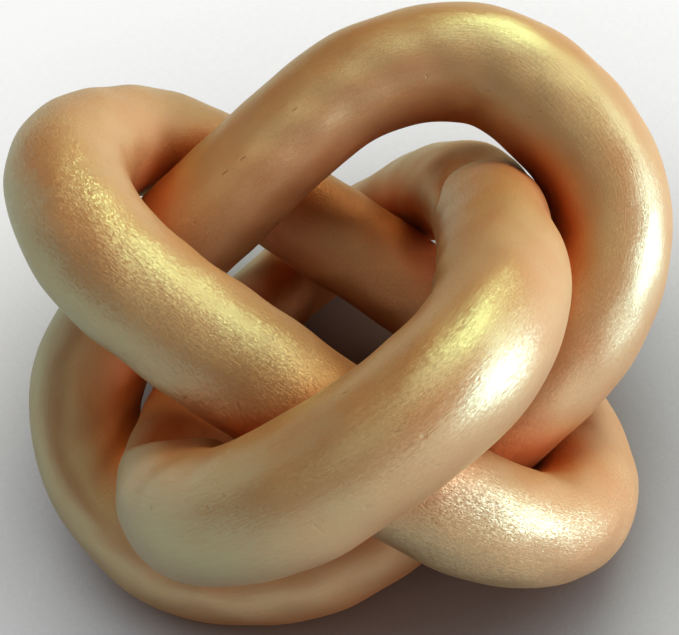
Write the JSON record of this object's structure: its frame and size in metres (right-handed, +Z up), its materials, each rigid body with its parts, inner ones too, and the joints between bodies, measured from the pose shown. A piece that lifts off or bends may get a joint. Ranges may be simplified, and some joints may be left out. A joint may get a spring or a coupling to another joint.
{
  "type": "wooden knot sculpture",
  "caption": "Decorative tabletop knot of interlocked oval wooden links in metallic gold paint, which stands on its link ends and straightens up when squeezed together.",
  "frame": {"origin": "on the table, under the common centre of the links", "axes": "+Z up; +Y away from the picture's viewer, so the front link is nearest -Y at the top; +X to the viewer's right"},
  "size_m": [0.1444, 0.141, 0.0967],
  "materials": {
    "gold_painted_wood": "satin metallic gold-bronze paint brushed over close-grained wood",
    "bare_dowel_wood": "bare turned beech"
  },
  "bodies": {
    "arch_link": {"arch_link_upper_half": "gold_painted_wood", "arch_link_lower_half": "gold_painted_wood", "left_dowel": "bare_dowel_wood", "right_dowel": "bare_dowel_wood"},
    "cross_link": {"cross_link": "gold_painted_wood"},
    "front_link": {"front_link": "gold_painted_wood"}
  },
  "joints": [
    {"name": "cross_link_turn", "type": "hinge", "parent": "arch_link", "child": "cross_link", "pos_m": [0, 0, 0.04817], "axis": [-0.7385, 0.6743, 0], "range_deg": [0, 27]},
    {"name": "front_link_turn", "type": "hinge", "parent": "arch_link", "child": "front_link", "pos_m": [0, 0, 0.04817], "axis": [-0.9532, -0.3024, 0], "range_deg": [0, 27]}
  ],
  "couplings": [
    {"joint": "front_link_turn", "follows": "cross_link_turn", "ratio": 1}
  ]
}
